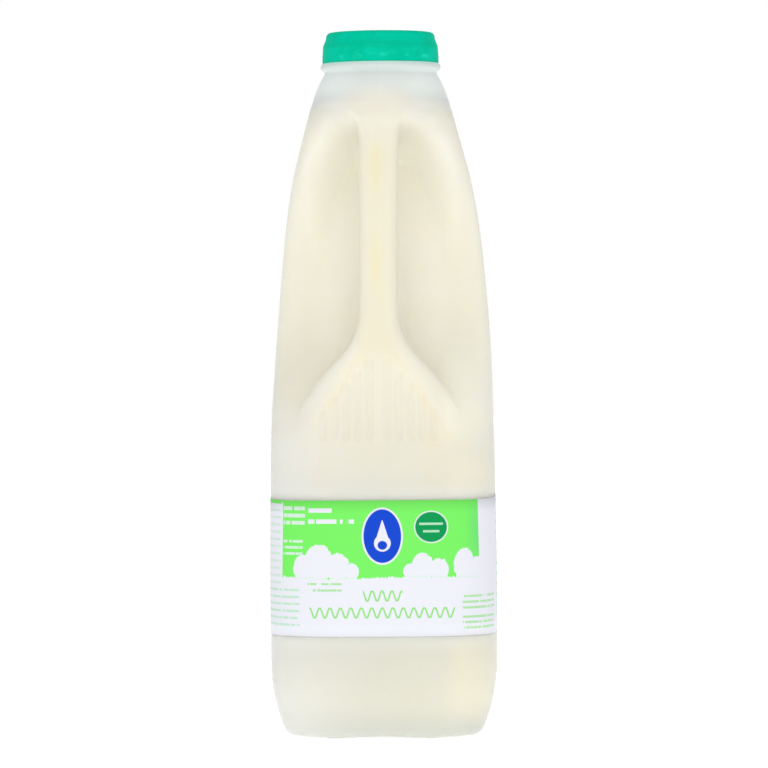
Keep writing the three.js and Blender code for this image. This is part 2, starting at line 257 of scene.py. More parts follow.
def new_object(name: str, mesh: bmesh.types.BMesh) -> bpy.types.Object:
    """Object at the origin with a mesh.

    Args:
        name: Name of the piece.
        mesh: Its mesh, which is freed.

    Returns:
        The object, shaded smooth.
    """
    data = bpy.data.meshes.new(name)
    mesh.to_mesh(data)
    mesh.free()
    data.polygons.foreach_set("use_smooth", [True] * len(data.polygons))
    piece = bpy.data.objects.new(name, data)
    bpy.context.scene.collection.objects.link(piece)
    return piece


def united(*shapes: bmesh.types.BMesh) -> bmesh.types.BMesh:
    """Union of two closed shapes.

    Args:
        shapes: The two, which are freed.

    Returns:
        The joined shape.
    """
    base, tool = (new_object("join", shape) for shape in shapes)
    join = base.modifiers.new("join", "BOOLEAN")
    join.operation, join.object, join.solver = "UNION", tool, "EXACT"
    result = bmesh.new()
    result.from_mesh(base.evaluated_get(bpy.context.evaluated_depsgraph_get()).to_mesh())
    for piece in (base, tool):
        data = piece.data
        bpy.data.objects.remove(piece)
        bpy.data.meshes.remove(data)
    return result


@dataclass(frozen=True)
class GripGrooves:
    """Upright grooves in the gable's panel, in two equal groups beside its middle, in millimetres."""

    groups: int = 5
    first: float = 3.15
    pitch: float = 4.1
    half_width: float = 1.95
    depth: float = 0.62
    bottom: float = 104.6
    top: float = 137.4
    top_fall: float = 1.04

    def depth_at(self, x: float, z: float) -> float:
        """Depth of the grooves at a place of the panel.

        Args:
            x: Distance from the middle.
            z: Height.

        Returns:
            Depth below the panel.
        """
        place = round(clamp((abs(x) - self.first) / self.pitch, 0, self.groups - 1))
        middle = self.first + place * self.pitch
        top = self.top - self.top_fall * middle - self.half_width
        beyond = max(self.bottom + self.half_width - z, z - top, 0.0)
        away = math.hypot(abs(x) - middle, beyond) / self.half_width
        return self.depth * (1 - soft_step(away, 0.2, 1.0))


@dataclass(frozen=True)
class Recess:
    """Hollow that leaves the handle free, in millimetres: a curved wall, a slope below and a ledge above."""

    slope: Station = (100.0, 158.0)
    ledge_near: Station = (200.0, 223.0)
    ledge_far: Station = (160.0, 226.0)
    spread: Station = (9.0, 25.0)
    wall_heights: Station = (158.0, 200.0)
    wall_fronts: Station = (5.0, -2.0)
    widest_y: float = 10.0
    squareness: float = 2.4

    def share(self, z: float, x: float) -> float:
        """Share of the full recess at a place: 1 beside the handle and 0 on the plain body."""
        away = soft_step(abs(x), *self.spread)
        ledge = (between(*ends, away) for ends in zip(self.ledge_near, self.ledge_far))
        return softer_step(z, *self.slope) * (1 - softer_step(z, *ledge))

    def reach(self, z: float) -> float:
        """Distance of the wall at a height in front of where the recess is widest."""
        rise = (z - self.wall_heights[0]) / (self.wall_heights[1] - self.wall_heights[0])
        return between(*self.wall_fronts, clamp(rise, 0, 1)) + self.widest_y


@dataclass(frozen=True)
class Rim:
    """Rounded rim of the gable and the handle: where its rounding starts and where its side stands."""

    inner: StationCurve = StationCurve(
        (0, 17), (12, 20.5), (30, 22.5), (86, 22.5), (100, 23), (107, 22.8), (113.4, 21.5), (118, 19.7),
        (122, 17), (127, 13.2), (131, 9.9), (135, 7.3), (139.6, 5.2), (146, 3.7), (152, 3.3), (205, 3.3),
    )
    outer: StationCurve = StationCurve(
        (0, 22.5), (12, 27.5), (30, 30), (86, 30), (98, 30), (106, 29.7), (113.4, 28.2), (118, 26.6),
        (122, 24.1), (127, 20.4), (131, 16.9), (135, 13), (139.6, 9.6), (143, 8), (147, 7.1), (152, 6.85),
        (205, 6.85),
    )
    depth: float = 4.6
    roundness: float = 2.2
    draft: float = 0.25
    foot_width: float = 2.6
    foot_depth: float = 3.2
    soft_below: Station = (1.5, 8.0)
    least_drop: float = 0.01
    most_round: float = 0.55
    rim_columns: int = 9
    side_columns: int = 3
    foot_columns: int = 5

    def corner(self, turn: float) -> Point:
        """Point of the rounded corner as shares across and down, at a turn from 0 to 1."""
        angle = turn * math.pi / 2
        power = 2 / self.roundness
        return math.sin(angle) ** power, 1 - max(math.cos(angle), 0.0) ** power

    def steps(self, z: float, drop: float) -> list[Point]:
        """Columns of the rim, its side and its foot.

        Args:
            z: Height.
            drop: Depth from the panel to the wall beside it.

        Returns:
            Distance from the middle and share of the drop of each column.
        """
        inner, outer = self.inner.at(z), self.outer.at(z)
        end = outer + self.draft + self.foot_width
        deep = max(drop, self.least_drop)
        round_share = min(self.depth / deep, self.most_round)
        foot_share = min(self.foot_depth / deep, 1 - self.most_round)
        columns: list[Point] = []
        for column in range(1, self.rim_columns + 1):
            across, down = self.corner(column / self.rim_columns)
            columns.append((between(inner, outer, across), round_share * down))
        for column in range(1, self.side_columns + 1):
            share = column / self.side_columns
            columns.append((outer + self.draft * share, between(round_share, 1 - foot_share, share)))
        for column in range(1, self.foot_columns + 1):
            angle = math.pi / 2 * column / self.foot_columns
            x = outer + self.draft + self.foot_width * (1 - math.cos(angle))
            columns.append((x, 1 - foot_share + foot_share * math.sin(angle)))
        firm = soft_step(drop, *self.soft_below)
        return [(x, between(soft_step(x, inner, end), share, firm)) for x, share in columns]


@dataclass(frozen=True)
class BottleForm:
    """Outside of the blow-moulded bottle in millimetres, with the handle towards -Y."""

    foot_half_width: float = 31.8
    corner_radius: float = 4.2
    flank_start: float = 3.4
    flank_top: float = 25.0
    flank_half_width: float = 40.1
    flank_curve: float = 0.0088
    envelope: StationCurve = StationCurve(
        (25, 40.1), (60, 40.1), (80, 39.85), (98, 39.75), (115, 39.35), (137, 38.5), (160, 36.75),
        (183, 34.3), (198, 31.55), (209, 28.7), (221, 25.4), (228, 23.1), (232, 21.3), (234.2, 20),
    )
    foot_squareness: float = 3.2
    squareness: Station = (3.7, 2.0)
    rounding: Station = (150.0, 232.0)
    seat: Station = (36.6, 83.8)
    seat_depth: float = 0.35
    seat_edge: float = 0.2
    recess: Recess = Recess()
    rim: Rim = Rim()
    saddle: Station = (144.0, 168.0)
    panel_proud: float = 0.3
    panel_start: float = 98.0
    panel_end: Station = (125.0, 160.0)
    grooves: GripGrooves = GripGrooves()
    push_up: StationCurve = StationCurve((0, 3), (0.42, 2.55), (0.6, 0.6), (0.7, 0))
    seam_arch: float = 0.7
    seam_half_width: float = 19.0
    seam_top: float = 10.0
    panel_columns: int = 56
    flank_columns: int = 22
    back_columns: int = 24

    def half_width(self, z: float) -> float:
        """Half-width of the plain envelope at a height.

        Args:
            z: Height.

        Returns:
            The half-width, which is also the depth in front of the axis and behind it.
        """
        if z < self.flank_start:
            below = self.corner_radius - max(z, 0.0)
            return self.foot_half_width + math.sqrt(self.corner_radius**2 - below**2)
        if z > self.flank_top:
            plain = self.envelope.at(z)
        else:
            plain = self.flank_half_width - self.flank_curve * (self.flank_top - z) ** 2
        low = soft_step(z, self.seat[0] - self.seat_edge, self.seat[0])
        high = 1 - soft_step(z, self.seat[1], self.seat[1] + self.seat_edge)
        return plain - self.seat_depth * min(low, high)

    def squareness_at(self, z: float) -> float:
        """Exponent of the plan section at a height, squarish in the body and rounder at foot and neck."""
        body = between(self.foot_squareness, self.squareness[0], soft_step(z, 0, self.flank_top))
        return between(body, self.squareness[1], soft_step(z, *self.rounding))

    def front_at(self, x: float, z: float) -> float:
        """Distance of the plain front in front of the axis."""
        half_width = self.half_width(z)
        return depth_at(x, half_width, half_width, self.squareness_at(z))

    def wall_at(self, x: float, z: float) -> float:
        """Distance of the wall in front of the axis, in the recess as well as on the plain body."""
        recess = self.recess
        hollow = depth_at(x, self.half_width(z), recess.reach(z), recess.squareness) - recess.widest_y
        return between(self.front_at(x, z), hollow, recess.share(z, x))

    def proud_at(self, z: float) -> float:
        """How far the panel stands proud of the plain front."""
        rise = soft_step(z, self.seat[1], self.panel_start)
        return self.panel_proud * rise * (1 - soft_step(z, *self.panel_end))

    def panel_at(self, x: float, z: float) -> float:
        """Distance of the panel in front of the axis, or of the saddle behind the handle above it.

        Args:
            x: Distance from the middle.
            z: Height.

        Returns:
            The distance in millimetres.
        """
        front = self.front_at(x, z) + self.proud_at(z)
        if z <= self.saddle[0]:
            return front
        if z >= self.saddle[1]:
            return self.wall_at(x, z)
        drop = (self.saddle[1] - z) / (self.saddle[1] - self.saddle[0])
        return between(front, self.wall_at(x, z), math.sqrt(1 - drop**2))

    def outline(self, z: float, offset: float = 0.0) -> list[Point]:
        """Closed outline of the outside at a height, from the middle of the front round its right side.

        Args:
            z: Height.
            offset: Distance by which the plain walls are moved outwards.

        Returns:
            The points of the outline.
        """
        inner = self.rim.inner.at(z)
        half: list[Point] = []
        for column in range(self.panel_columns + 1):
            x = inner * column / self.panel_columns
            half.append((x, self.grooves.depth_at(x, z) - self.panel_at(x, z) - offset))
        outer = self.rim.outer.at(z)
        drop = self.panel_at(outer, z) - self.wall_at(outer, z)
        for x, share in self.rim.steps(z, drop):
            half.append((x, -between(self.panel_at(x, z), self.wall_at(x, z), share) - offset))
        half_width, squareness, recess = self.half_width(z), self.squareness_at(z), self.recess
        wide, reach = half_width + offset, recess.reach(z)
        foot = half[-1][0]
        plain_start = math.atan2(foot, self.front_at(foot, z))
        hollow_start = math.atan2(foot, depth_at(foot, half_width, reach, recess.squareness))
        for column in range(1, self.flank_columns + 1):
            share = column / self.flank_columns
            plain = point_at_angle(between(plain_start, math.pi / 2, share), wide, wide, squareness)
            turn = between(hollow_start, math.pi / 2, share)
            hollow = point_at_angle(turn, half_width, reach, recess.squareness)
            deep = recess.share(z, hollow[0])
            depth = between(plain[1], hollow[1] - recess.widest_y, deep)
            half.append((between(plain[0], hollow[0], deep), -depth))
        return mirrored(half + back_quarter(half[-1], wide - half[-1][1], squareness, self.back_columns))

    def seam_lift(self, x: float, z: float) -> float:
        """Lift of the base where the pinched seam crosses it from front to back."""
        across = 1 - min(abs(x) / self.seam_half_width, 1.0) ** 2
        up = 1 - min(z / self.seam_top, 1.0)
        return self.seam_arch * across**2 * up**2

    def base_rings(self) -> list[Ring]:
        """Rings of the foot and of the push-up inside it."""
        outline = self.outline(0.0)
        shares = heights_through((0.0, 0.36, 0.12), (0.36, 0.72, 0.03), (0.72, 0.96, 0.08))
        return [Ring(outline, max(self.push_up.at(share), 0.0), share) for share in shares]

    def wall_rings(self) -> list[Ring]:
        """Rings of the wall from the foot to the neck."""
        heights = heights_through(
            (0, 4, 0.3), (4, 12, 1.0), (12, 36.2, 2.2), (36.2, 36.7, 0.1), (36.7, 83.7, 6), (83.7, 84.1, 0.1),
            (84.1, 98, 1.6), (98, 104, 1.2), (104, 146, 0.85), (146, 168, 1.2), (168, 198, 3),
            (198, 234.2, 1.4),
        )
        return [Ring(self.outline(z), z) for z in heights]

    def neck_rings(self, stations: Sequence[Station]) -> list[Ring]:
        """Round rings of the neck, whose columns lie in the directions of the shoulder's.

        Args:
            stations: Radius and height of each ring.

        Returns:
            The rings.
        """
        shoulder = self.outline(self.envelope.heights[-1])
        rings = []
        for radius, height in stations:
            outline = [(x * radius / math.hypot(x, y), y * radius / math.hypot(x, y)) for x, y in shoulder]
            rings.append(Ring(outline, height))
        return rings


@dataclass(frozen=True)
class Handle:
    """Hollow bar along the front of the bottle, which flows into the gable and the shoulder."""

    form: BottleForm
    thickness: float = 14.5
    back_squareness: float = 2.6
    proud: StationCurve = StationCurve(
        (137.5, -0.6), (140.5, 0.0), (143.5, 0.08), (150, 0.0), (208, 0.0), (216, -0.03), (222, -0.12),
        (224, -0.3)
    )
    crest_outer: StationCurve = StationCurve(
        (200, 0), (207, 0.05), (210, 0.2), (213, 0.6), (216.5, 1.5), (219, 3.5), (221, 6), (224, 8)
    )
    root_fillet: float = 9.0
    root: Station = (140.0, 170.0)
    crest_fillet: float = 9.0
    crest: Station = (190.0, 212.0)
    bottom: float = 137.5
    top: float = 224.0
    front_columns: int = 12
    back_columns: int = 14

    def ring(self, z: float, share: float = 1.0) -> Ring:
        """Outline of the bar at a height.

        Args:
            z: Height.
            share: Share to which the outline is shrunk, 0 to close an end.

        Returns:
            The ring.
        """
        form, rim, proud, flare = self.form, self.form.rim, self.proud.at(z), self.crest_outer.at(z)
        inner, outer = rim.inner.at(z) + flare + proud, rim.outer.at(z) + flare + proud
        at_root = self.root_fillet * (1 - soft_step(z, *self.root))
        thickness = self.thickness + (at_root + self.crest_fillet * soft_step(z, *self.crest))
        raised = proud + form.proud_at(z)
        half = []
        for column in range(self.front_columns + 1):
            x = inner * column / self.front_columns
            half.append((x, -form.front_at(x, z) - raised))
        for column in range(1, rim.rim_columns + 1):
            across, down = rim.corner(column / rim.rim_columns)
            x = between(inner, outer, across)
            half.append((x, rim.depth * down - form.front_at(x, z) - raised))
        back_y = thickness - form.half_width(z)
        half += back_quarter(half[-1], back_y - half[-1][1], self.back_squareness, self.back_columns)
        return Ring(mirrored(half), z, share, (0.0, (half[0][1] + back_y) / 2))

    def solid(self) -> bmesh.types.BMesh:
        """Closed solid of the bar."""
        heights = heights_through((self.bottom, 152, 1.0), (152, 198, 2.5), (198, self.top, 1.0))
        ends = (self.ring(self.bottom, 0.0), self.ring(self.top, 0.0))
        return lofted([ends[0], *[self.ring(z) for z in heights], ends[1]])


class Operation(Enum):
    """What a Math node does with its values."""

    SUM = "ADD"
    DIFFERENCE = "SUBTRACT"
    PRODUCT = "MULTIPLY"
    QUOTIENT = "DIVIDE"
    POWER = "POWER"
    SIZE = "ABSOLUTE"
    SINE = "SINE"
    WHOLE = "FLOOR"
    PART = "FRACT"
    GREATEST = "MAXIMUM"


def operator(operation: Operation, behind: bool = False) -> Callable[..., "Value"]:
    """Makes a method of Value that adds a Math node.

    Args:
        operation: What the node does.
        behind: Whether the value comes after the other one.

    Returns:
        The method.
    """
    def method(value: "Value", *others: "Number") -> "Value":
        """Result of the operation on the value and the others."""
        return value.sheet.maths(operation, *((*others, value) if behind else (value, *others)))

    return method


class Value:
    """Number that varies over a surface; Python's operators on it add Math nodes."""

    __add__ = operator(Operation.SUM)
    __radd__ = operator(Operation.SUM, behind=True)
    __sub__ = operator(Operation.DIFFERENCE)
    __rsub__ = operator(Operation.DIFFERENCE, behind=True)
    __mul__ = operator(Operation.PRODUCT)
    __truediv__ = operator(Operation.QUOTIENT)
    __pow__ = operator(Operation.POWER)
    __abs__ = operator(Operation.SIZE)
    sine = operator(Operation.SINE)
    whole = operator(Operation.WHOLE)
    part = operator(Operation.PART)
    greatest = operator(Operation.GREATEST)

    def __init__(self, sheet: "NodeSheet", socket: bpy.types.NodeSocket) -> None:
        """Wraps a socket of a sheet."""
        self.sheet = sheet
        self.socket = socket

    def rises(self, low: float, high: float) -> "Value":
        """Smooth step from 0 at low to 1 at high."""
        limits = {"Value": self, "From Min": low, "From Max": high}
        step = self.sheet.node("ShaderNodeMapRange", {"interpolation_type": "SMOOTHSTEP"}, limits)
        return Value(self.sheet, step.outputs["Result"])

    def inside(self, low: float, high: float, edge: float) -> "Value":
        """1 between low and high, with soft edges of a width."""
        half = edge / 2
        return self.rises(low - half, low + half) * (1 - self.rises(high - half, high + half))


Number = Union[float, Value]


class NodeSheet:
    """Node tree of one material, with a few ways of adding nodes to it."""

    def __init__(self, name: str) -> None:
        """Makes a material of this name with an empty tree."""
        self.material = bpy.data.materials.new(name)
        self.material.use_nodes = True
        self.tree = self.material.node_tree
        self.tree.nodes.clear()

    def node(
        self, kind: str, settings: Optional[dict[str, Any]] = None, inputs: Optional[dict[Any, Any]] = None
    ) -> bpy.types.Node:
        """Adds a node.

        Args:
            kind: Type of the node.
            settings: Its properties.
            inputs: Values or links of its sockets, by name or place.

        Returns:
            The node.
        """
        made = self.tree.nodes.new(kind)
        for key, value in (settings or {}).items():
            setattr(made, key, value)
        for key, value in (inputs or {}).items():
            source = value.socket if isinstance(value, Value) else value
            if isinstance(source, bpy.types.NodeSocket):
                self.tree.links.new(source, made.inputs[key])
            else:
                made.inputs[key].default_value = source
        return made

    def maths(self, operation: Operation, *inputs: Number) -> Value:
        """Result of a Math node."""
        made = self.node("ShaderNodeMath", {"operation": operation.value}, dict(enumerate(inputs)))
        return Value(self, made.outputs[0])

    def place(self) -> bpy.types.NodeSocket:
        """Place on the object in metres, as a vector."""
        return self.node("ShaderNodeTexCoord").outputs["Object"]

    def millimetres(self) -> tuple[Value, Value, Value]:
        """Place on the object in millimetres, as three values."""
        split = self.node("ShaderNodeSeparateXYZ", inputs={0: self.place()})
        x, y, z = (Value(self, socket) * 1000 for socket in split.outputs)
        return x, y, z

    def vector(self, x: Number, y: Number, z: Number = 0.0) -> bpy.types.NodeSocket:
        """Vector of three values."""
        return self.node("ShaderNodeCombineXYZ", inputs={0: x, 1: y, 2: z}).outputs[0]

    def noise(
        self, size: float, detail: float = 2.0, roughness: float = 0.5,
        vector: Optional[bpy.types.NodeSocket] = None,
    ) -> Value:
        """Cloudy noise about 0.5, its spots of a rough size in metres or in the unit of a vector."""
        where = vector or self.place()
        sockets = {"Vector": where, "Scale": 1 / size, "Detail": detail, "Roughness": roughness}
        return Value(self, self.node("ShaderNodeTexNoise", inputs=sockets).outputs["Fac"])

    def layered(self, colour: Any, *layers: tuple[Number, Any]) -> Any:
        """Lays colours over a colour, one by one.

        Args:
            colour: Colour at the bottom, or its socket.
            layers: Share of each layer, and its colour or socket.

        Returns:
            The socket of the result.
        """
        for share, over in layers:
            mix = self.node("ShaderNodeMix", {"data_type": "RGBA"}, {0: share, 6: colour, 7: over})
            colour = mix.outputs[2]
        return colour

    def bump(self, height: Value, depth: float, strength: float) -> bpy.types.NodeSocket:
        """Normal of a relief whose height goes from 0 to 1 over a depth in metres."""
        made = self.node("ShaderNodeBump", inputs={"Height": height, "Distance": depth, "Strength": strength})
        return made.outputs["Normal"]

    def finish(self, sockets: dict[str, Any]) -> bpy.types.Material:
        """Material of the sheet, closed with a Principled shader of these sockets."""
        shader = self.node("ShaderNodeBsdfPrincipled", inputs=sockets)
        self.node("ShaderNodeOutputMaterial", inputs={"Surface": shader.outputs[0]})
        return self.material


@dataclass(frozen=True)
class PaintedLightAndShade:
    """Painted light and shade on the wall and the milk by place, in millimetres, laid over their colours."""

    # Painted shade: darker towards the bottom, most at the foot.
    low: Colour = tone(190, 196, 194)
    # Painted light: paler in the recess behind the handle, against its shade.
    recess: Colour = tone(254, 249, 236)
    # Painted shade: darker and warmer on the front of the handle.
    handle: Colour = tone(238, 229, 204)
    # Painted shade: cooler and greyer on the lower left side.
    left: Colour = tone(238, 238, 238)
    # Painted light: paler above and below the label, against the shade the label casts in the milk.
    beside_label_painted_light: Colour = tone(255, 254, 244)
    # Painted light: paler on the right flank beside the gable.
    right_flank_painted_light: Colour = tone(255, 252, 236)
    # Painted light: warmer and paler on the right side of the lower body.
    right_foot_painted_light: Colour = tone(255, 246, 215)
    label_middle: float = 60.2

    def laid(self, sheet: NodeSheet, place: tuple[Value, Value, Value], colour: Any) -> bpy.types.NodeSocket:
        """Lays the painted light and shade over a colour.

        Args:
            sheet: Sheet of the material.
            place: Place on the object in millimetres.
            colour: Socket of the colour.

        Returns:
            The toned colour.
        """
        x, y, z = place
        away = abs(x)
        # Painted light in the recess behind the handle, against its shade.
        recess = y.rises(-26, -14) * (1 - y.rises(8, 20)) * (1 - away.rises(17, 28))
        recess_height = z.rises(122, 146) * (1 - z.rises(206, 215))
        # Painted shade on the front of the handle.
        handle = (1 - away.rises(6.5, 8.5)) * z.inside(135, 212, 14) * (1 - y.rises(-22, -17))
        # Painted shade towards the bottom, most at the foot.
        low = (1 - z.rises(88, 140)) * 0.18 + (1 - z.rises(20, 60)) * 0.08 + (1 - z.rises(1, 14)) * 0.3
        # Painted shade on the lower left side.
        left = (0 - x).rises(4, 38) * (1 - z.rises(100, 128))
        # Painted light on the right flank beside the gable.
        right_flank_painted_light = x.rises(20, 27) * z.inside(109, 136, 16)
        # Painted light on the right side of the lower body.
        right_foot_painted_light = x.rises(20, 30) * z.inside(9, 96, 14)
        # Painted light above and below the label.
        beside_label_painted_light = 1 - abs(z - self.label_middle).rises(21, 31)
        # Lays the painted light and shade one by one, each by its share.
        return sheet.layered(
            colour,
            (recess * recess_height * 0.85, self.recess),
            (handle * 0.45, self.handle),
            (low, self.low),
            (left * 0.45, self.left),
            (right_flank_painted_light * 0.75, self.right_flank_painted_light),
            (right_foot_painted_light * 0.28, self.right_foot_painted_light),
            (beside_label_painted_light * 0.9, self.beside_label_painted_light),
        )


@dataclass(frozen=True)
class FrostedPlastic:
    """Natural blow-moulded plastic: cool and cloudy above the milk, and a thin veil in front of it, with
    painted light and shade over its colour.
    """

    veil: Colour = tone(243, 241, 229)
    shade: Colour = tone(242, 239, 222)
    warm: Colour = tone(252, 236, 204)
    yellow: Colour = tone(248, 236, 188)
    empty: Colour = tone(226, 230, 224)
    # Painted light: paler on the neck's sides, which turn away into shade.
    neck_side_painted_light: Colour = tone(240, 247, 244)
    # Painted light: pale band on the shoulder's sides just under the milk level.
    shoulder: Colour = tone(255, 255, 252)
    upper: Colour = tone(218, 228, 225)
    # Painted light: pale mint on the bead's top, in the shade of the cap's edge.
    under_cap_painted_light: Colour = tone(190, 255, 240)
    # Painted shade: cooler and greyer towards the bottle's sides.
    cool: Colour = tone(226, 230, 226)
    # Painted light: creamy band in the middle just under the milk level.
    level_painted_light: Colour = tone(255, 251, 236)
    cover_with_milk: float = 0.34
    cover_at_level: float = 0.94
    cover_empty: float = 0.85
    level: float = 227.0
    level_fade: float = 3.5
    level_arch: float = 5.5
    arch_width: float = 24.0

    def warmth(self, sheet: NodeSheet, x: Value, z: Value) -> Value:
        """Mask of the warm tint inside the gable's edges and of its soft runs down towards the label."""
        away = abs(x)
        gable_edge = 22.5 - (z - 112.0) * 0.62
        rim = 1 - abs(away - gable_edge + 2.0).rises(0.0, 3.6)
        gable = rim * z.inside(104, 137, 12)
        runs = away.inside(15.5, 24, 7) * z.inside(86, 116, 16)
        patches = sheet.noise(0.009, 2.0, 0.5).rises(0.4, 0.68)
        return gable.greatest(runs * 0.6) * (0.5 + patches * 0.5)

    def yellow_runs(self, x: Value, z: Value) -> Value:
        """Mask of the yellow runs along the middle of the handle."""
        middle = 1 - abs(x + 0.8).rises(0.4, 3.4)
        high = z.inside(194, 208, 8)
        low = z.inside(158, 174, 12)
        return middle * high.greatest(low)

    def material(self) -> bpy.types.Material:
        """Material of the bottle's wall."""
        sheet = NodeSheet("frosted_plastic")
        x, y, z = sheet.millimetres()
        slow = sheet.noise(0.03, 2.0, 0.5)
        arched = z + (x / self.arch_width) ** 2.0 * self.level_arch + (slow - 0.5) * 6
        above = arched.rises(self.level - self.level_fade, self.level + self.level_fade)
        clouds, front, away = sheet.noise(0.018, 3.0, 0.55), 1 - y.rises(-12, -4), abs(x)
        tinted = sheet.layered(
            self.veil,
            (clouds.rises(0.38, 0.7) * 0.7, self.shade),
            (self.warmth(sheet, x, z) * front, self.warm),
        )
        side = away.rises(7, 15)
        filled = sheet.layered(
            # Painted light and shade by place over the wall's colour.
            PaintedLightAndShade().laid(sheet, (x, y, z), tinted),
            (self.yellow_runs(x, z) * front * 0.75, self.yellow),
            # Painted shade towards the bottle's sides.
            (away.rises(34.5, 39.5) * 0.4, self.cool),
            # Painted light in the middle just under the milk level.
            (z.inside(215, 226.5, 7) * (1 - side) * 0.9, self.level_painted_light),
            # Painted light on the shoulder's sides just under the milk level.
            (side * z.inside(221, 229, 4) * 0.6, self.shoulder),
        )
        # Painted light on the neck's sides, which turn away into shade.
        turned_away_painted_light = away.rises(4, 17) * z.inside(222, 236, 3) * 0.6
        neck = sheet.layered(self.empty, (z.rises(228, 236), self.upper), (turned_away_painted_light, self.neck_side_painted_light))
        # Painted light in mint on the bead's top, in the cap's shade.
        colour = sheet.layered(filled, (above, neck), (z.rises(237.5, 238.1), self.under_cap_painted_light))
        near_level = 1 - abs(z - 226).rises(6, 13)
        cover = (
            self.cover_with_milk
            + z.rises(218, 230) * (self.cover_empty - self.cover_with_milk)
            + near_level * (self.cover_at_level - self.cover_empty)
        )
        grain = sheet.noise(0.0011, 4.0, 0.6)
        waves = sheet.noise(0.009, 2.0, 0.5)
        parting = 1 - away.rises(0.05, 0.45)
        foot_line = 1 - abs(z - 20).rises(0.1, 0.7)
        relief = grain * 0.1 + waves * 0.5 + parting * 0.25 + foot_line * 0.3
        return sheet.finish({
            "Base Color": colour,
            "Roughness": 0.38 + grain * 0.12,
            "IOR": 1.5,
            "Specular IOR Level": 0.3,
            "Alpha": cover,
            "Sheen Weight": 0.25,
            "Sheen Roughness": 0.4,
            "Sheen Tint": (0.88, 0.94, 1.0, 1.0),
            "Normal": sheet.bump(relief, 0.0003, 0.45),
        })


@dataclass(frozen=True)
class Milk:
    """Milk against the wall, cloudy all through, with a faint clouding of its cream and painted light and
    shade by place.
    """

    body: Colour = tone(246, 242, 228)
    cream: Colour = tone(246, 241, 220)

    def material(self) -> bpy.types.Material:
        """Material of the milk."""
        sheet = NodeSheet("milk")
        clouds = sheet.noise(0.03)
        clouded = sheet.layered(self.body, (clouds.rises(0.4, 0.7) * 0.5, self.cream))
        return sheet.finish({
            # Painted light and shade by place over the milk's colour.
            "Base Color": PaintedLightAndShade().laid(sheet, sheet.millimetres(), clouded),
            "Roughness": 0.3 + clouds * 0.1,
            "Specular IOR Level": 0.15,
            "Subsurface Weight": 1.0,
            "Subsurface Scale": 0.02,
            "Subsurface Radius": (1.0, 0.9, 0.75),
        })


@dataclass(frozen=True)
class MintPlastic:
    """Injection-moulded cap plastic with a fine grain, faint pale scuffs with painted glints, and a painted
    shade along its step.
    """

    face: Colour = tone(0, 196, 160)
    pale: Colour = tone(30, 210, 174)
    deep: Colour = tone(0, 184, 145)
    scuff_and_glint_stretch: tuple[float, float, float] = (0.8, 0.8, 1.3)

    def material(self) -> bpy.types.Material:
        """Material of the cap."""
        sheet = NodeSheet("mint_plastic")
        z = sheet.millimetres()[2]
        grain = sheet.noise(0.0006, 3.0, 0.6)
        clouds = sheet.noise(0.006, 3.0, 0.6)
        mapping = {"Vector": sheet.place(), "Scale": self.scuff_and_glint_stretch}
        stretched = sheet.node("ShaderNodeMapping", inputs=mapping).outputs["Vector"]
        # Pale marks, partly wear and partly painted glints, strongest on the low band.
        scuffs_and_glints = sheet.noise(0.004, 3.0, 0.6, stretched)
        # Masks of the low band and of the painted shade along the cap's step.
        band, step = z.inside(239.6, 241.2, 1.2), z.inside(243.4, 244.9, 1.2)
        colour = sheet.layered(
            self.face,
            (clouds.rises(0.4, 0.65) * 0.6, self.deep),
            # Painted shade: darker band along the cap's step.
            (step * 0.6, self.deep),
            # Pale scuffs and painted glints.
            (scuffs_and_glints.rises(0.52, 0.7) * (0.2 + band * 0.8), self.pale),
        )
        return sheet.finish({
            "Base Color": colour,
            "Roughness": 0.5 + grain * 0.14,
            "Specular IOR Level": 0.02,
            "Normal": sheet.bump(grain * 0.3 + clouds * 0.7, 0.0001, 0.4),
        })


@dataclass
class PrintSheet:
    """Flat print on a strip, in millimetres along it and up it, laid over a paper colour."""

    sheet: NodeSheet
    s: Value
    t: Value
    colour: Any
    edge: float = 0.16

    def box(self, left: float, right: float, low: float, high: float) -> Value:
        """Mask of a rectangle."""
        return self.s.inside(left, right, self.edge) * self.t.inside(low, high, self.edge)

    def oval(self, s: float, t: float, across: float, up: float) -> Value:
        """Mask of an oval about a place, from its half-width and half-height."""
        around = ((self.s - s) / across) ** 2.0 + ((self.t - t) / up) ** 2.0
        return 1 - around.rises(1 - 2 * self.edge / up, 1 + 2 * self.edge / up)

    def rows(self, left: float, right: float, low: float, high: float, count: int, thick: float) -> Value:
        """Mask of even rows of broken bars, which stand where small print would.

        Args:
            left: Start of the rows along the strip.
            right: End of the rows along the strip.
            low: Height of the lowest row's middle.
            high: Height of the highest row's middle.
            count: Number of rows.
            thick: Thickness of a bar.

        Returns:
            The mask.
        """
        pitch = (high - low) / (count - 1)
        place = (self.t - low + pitch / 2) / pitch
        share = thick / pitch / 2
        bars = place.part().inside(0.5 - share, 0.5 + share, 0.3 * share)
        seed = self.sheet.vector(self.s * 0.75, place.whole() * 7.3 + low, left)
        words = self.sheet.noise(1.0, 1.0, 0.5, seed).rises(0.36, 0.42)
        block = self.box(left, right, low - pitch / 2, high + pitch / 2)
        return bars * words * block

    def wave(
        self, left: float, right: float, middle: float, swing: float, length: float, thick: float
    ) -> Value:
        """Mask of a thin waving line.

        Args:
            left: Start of the line along the strip.
            right: End of the line along the strip.
            middle: Height of its middle.
            swing: Height of its waves to either side.
            length: Length of one wave.
            thick: Thickness of the line.

        Returns:
            The mask.
        """
        turns = self.s * (2 * math.pi / length)
        slope = (turns + math.pi / 2).sine() * (swing * 2 * math.pi / length)
        away = abs(self.t - middle - turns.sine() * swing) / (slope * slope + 1) ** 0.5
        return (1 - away.rises(thick / 2, thick / 2 + self.edge)) * self.s.inside(left, right, self.edge)

    def lay(self, mask: Value, colour: Colour) -> None:
        """Prints a colour where a mask is 1."""
        self.colour = self.sheet.layered(self.colour, (mask, colour))


